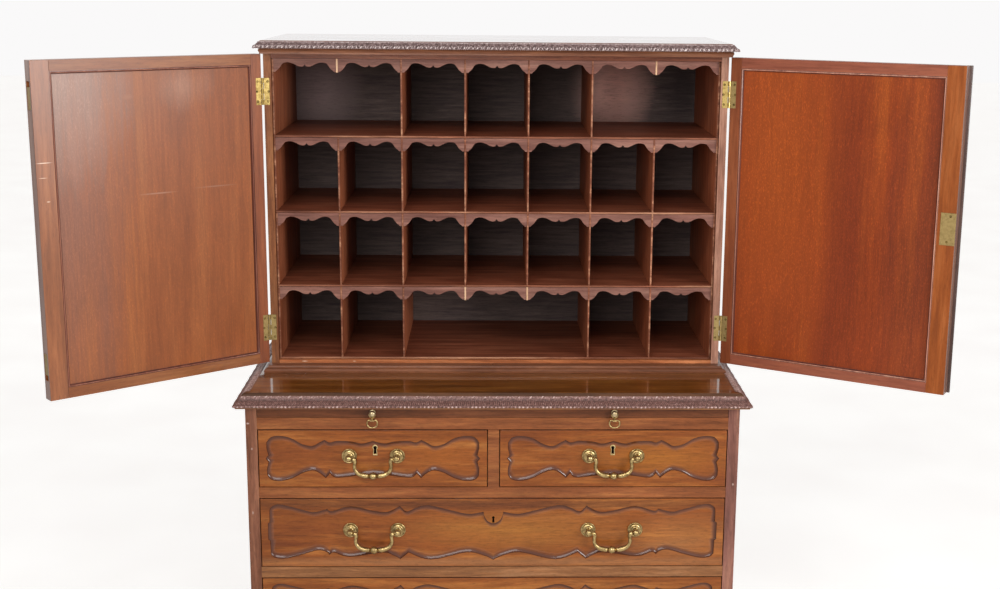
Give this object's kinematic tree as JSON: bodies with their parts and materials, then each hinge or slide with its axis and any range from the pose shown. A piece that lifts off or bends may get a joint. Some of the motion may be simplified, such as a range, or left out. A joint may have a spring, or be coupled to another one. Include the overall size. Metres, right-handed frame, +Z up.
{
  "type": "cabinet on chest",
  "caption": "Cabinet with framed doors over a nest of pigeonholes, standing on a chest of drawers with a brushing slide, carved mouldings and bracket feet.",
  "frame": {"origin": "middle of the floor area that the chest and the open doors cover", "axes": "+X to the viewer's right, +Y to the back, +Z up"},
  "size_m": [1.6196, 0.5982, 1.5225],
  "materials": {
    "figured_mahogany": "polished, horizontal figure",
    "panel_mahogany": "polished, figured",
    "dark_mahogany": "polished, darkened carving",
    "inside_mahogany": "thin leaves, worn polish",
    "lining_wood": "unpolished boards",
    "lacquered_brass": "aged, lacquered"
  },
  "bodies": {
    "carcase": {"case_back": "lining_wood", "case_floor": "figured_mahogany", "case_side_left": "figured_mahogany", "case_side_right": "figured_mahogany", "case_top": "figured_mahogany", "chest_back": "lining_wood", "chest_base": "dark_mahogany", "chest_side_left": "figured_mahogany", "chest_side_right": "figured_mahogany", "chest_top": "figured_mahogany", "cornice": "dark_mahogany", "foot_back_left": "dark_mahogany", "foot_back_right": "dark_mahogany", "foot_front_left": "dark_mahogany", "foot_front_right": "dark_mahogany", "left_door_lower_hinge_case_leaf": "lacquered_brass", "left_door_upper_hinge_case_leaf": "lacquered_brass", "lower_rail": "figured_mahogany", "middle_rail": "figured_mahogany", "pigeonhole_tier_1": "inside_mahogany", "pigeonhole_tier_2": "inside_mahogany", "pigeonhole_tier_3": "inside_mahogany", "pigeonhole_tier_4": "inside_mahogany", "right_door_lower_hinge_case_leaf": "lacquered_brass", "right_door_upper_hinge_case_leaf": "lacquered_brass", "slide_rail": "figured_mahogany", "upper_rail": "figured_mahogany", "waist_moulding": "dark_mahogany"},
    "left_door": {"left_door_frame": "figured_mahogany", "left_door_lower_hinge_door_leaf": "lacquered_brass", "left_door_panel": "panel_mahogany", "left_door_upper_hinge_door_leaf": "lacquered_brass"},
    "right_door": {"door_lock": "lacquered_brass", "right_door_frame": "figured_mahogany", "right_door_lower_hinge_door_leaf": "lacquered_brass", "right_door_panel": "panel_mahogany", "right_door_upper_hinge_door_leaf": "lacquered_brass"},
    "flush_bolt_top": {"flush_bolt_top": "lacquered_brass"},
    "flush_bolt_bottom": {"flush_bolt_bottom": "lacquered_brass"},
    "brushing_slide": {"brushing_slide": "figured_mahogany"},
    "ring_pull_left": {"ring_pull_left": "lacquered_brass"},
    "ring_pull_right": {"ring_pull_right": "lacquered_brass"},
    "short_drawer_left": {"short_drawer_left_front": "figured_mahogany", "short_drawer_left_box": "lining_wood"},
    "short_drawer_right": {"short_drawer_right_front": "figured_mahogany", "short_drawer_right_box": "lining_wood"},
    "long_drawer_1": {"long_drawer_1_front": "figured_mahogany", "long_drawer_1_box": "lining_wood"},
    "long_drawer_2": {"long_drawer_2_front": "figured_mahogany", "long_drawer_2_box": "lining_wood"},
    "long_drawer_3": {"long_drawer_3_front": "figured_mahogany", "long_drawer_3_box": "lining_wood"},
    "long_drawer_1_bail_left": {"long_drawer_1_bail_left": "lacquered_brass"},
    "long_drawer_1_bail_right": {"long_drawer_1_bail_right": "lacquered_brass"},
    "long_drawer_2_bail_left": {"long_drawer_2_bail_left": "lacquered_brass"},
    "long_drawer_2_bail_right": {"long_drawer_2_bail_right": "lacquered_brass"},
    "long_drawer_3_bail_left": {"long_drawer_3_bail_left": "lacquered_brass"},
    "long_drawer_3_bail_right": {"long_drawer_3_bail_right": "lacquered_brass"},
    "short_drawer_left_bail": {"short_drawer_left_bail": "lacquered_brass"},
    "short_drawer_right_bail": {"short_drawer_right_bail": "lacquered_brass"}
  },
  "joints": [
    {"name": "left_door_hinge", "type": "hinge", "parent": "carcase", "child": "left_door", "pos_m": [-0.45369, -0.02863, 1.19815], "axis": [0, 0, -1], "range_deg": [-141.6, 38.4]},
    {"name": "right_door_hinge", "type": "hinge", "parent": "carcase", "child": "right_door", "pos_m": [0.42012, -0.02863, 1.19815], "axis": [0, 0, 1], "range_deg": [-148.5, 31.5]},
    {"name": "flush_bolt_top_slide", "type": "slide", "parent": "left_door", "child": "flush_bolt_top", "axis": [0, 0, 1], "range_m": [0, 0.009]},
    {"name": "flush_bolt_bottom_slide", "type": "slide", "parent": "left_door", "child": "flush_bolt_bottom", "axis": [0, 0, -1], "range_m": [0, 0.009]},
    {"name": "brushing_slide_run", "type": "slide", "parent": "carcase", "child": "brushing_slide", "axis": [0, -1, 0], "range_m": [0, 0.25]},
    {"name": "ring_pull_left_swing", "type": "hinge", "parent": "brushing_slide", "child": "ring_pull_left", "pos_m": [-0.24458, -0.20088, 0.8504], "axis": [-1, 0, 0], "range_deg": [-12, 100]},
    {"name": "ring_pull_right_swing", "type": "hinge", "parent": "brushing_slide", "child": "ring_pull_right", "pos_m": [0.20202, -0.20088, 0.8504], "axis": [-1, 0, 0], "range_deg": [-12, 100]},
    {"name": "short_drawer_left_run", "type": "slide", "parent": "carcase", "child": "short_drawer_left", "axis": [0, -1, 0], "range_m": [0, 0.3]},
    {"name": "short_drawer_right_run", "type": "slide", "parent": "carcase", "child": "short_drawer_right", "axis": [0, -1, 0], "range_m": [0, 0.3]},
    {"name": "long_drawer_1_run", "type": "slide", "parent": "carcase", "child": "long_drawer_1", "axis": [0, -1, 0], "range_m": [0, 0.3]},
    {"name": "long_drawer_2_run", "type": "slide", "parent": "carcase", "child": "long_drawer_2", "axis": [0, -1, 0], "range_m": [0, 0.3]},
    {"name": "long_drawer_3_run", "type": "slide", "parent": "carcase", "child": "long_drawer_3", "axis": [0, -1, 0], "range_m": [0, 0.3]},
    {"name": "long_drawer_1_bail_left_swing", "type": "hinge", "parent": "long_drawer_1", "child": "long_drawer_1_bail_left", "pos_m": [-0.24458, -0.20368, 0.61895], "axis": [-1, 0, 0], "range_deg": [-8, 165]},
    {"name": "long_drawer_1_bail_right_swing", "type": "hinge", "parent": "long_drawer_1", "child": "long_drawer_1_bail_right", "pos_m": [0.20202, -0.20368, 0.61895], "axis": [-1, 0, 0], "range_deg": [-8, 165]},
    {"name": "long_drawer_2_bail_left_swing", "type": "hinge", "parent": "long_drawer_2", "child": "long_drawer_2_bail_left", "pos_m": [-0.24458, -0.20368, 0.44805], "axis": [-1, 0, 0], "range_deg": [-8, 165]},
    {"name": "long_drawer_2_bail_right_swing", "type": "hinge", "parent": "long_drawer_2", "child": "long_drawer_2_bail_right", "pos_m": [0.20202, -0.20368, 0.44805], "axis": [-1, 0, 0], "range_deg": [-8, 165]},
    {"name": "long_drawer_3_bail_left_swing", "type": "hinge", "parent": "long_drawer_3", "child": "long_drawer_3_bail_left", "pos_m": [-0.24458, -0.20368, 0.25065], "axis": [-1, 0, 0], "range_deg": [-8, 165]},
    {"name": "long_drawer_3_bail_right_swing", "type": "hinge", "parent": "long_drawer_3", "child": "long_drawer_3_bail_right", "pos_m": [0.20202, -0.20368, 0.25065], "axis": [-1, 0, 0], "range_deg": [-8, 165]},
    {"name": "short_drawer_left_bail_swing", "type": "hinge", "parent": "short_drawer_left", "child": "short_drawer_left_bail", "pos_m": [-0.24458, -0.20368, 0.765], "axis": [-1, 0, 0], "range_deg": [-8, 165]},
    {"name": "short_drawer_right_bail_swing", "type": "hinge", "parent": "short_drawer_right", "child": "short_drawer_right_bail", "pos_m": [0.20202, -0.20368, 0.765], "axis": [-1, 0, 0], "range_deg": [-8, 165]}
  ]
}
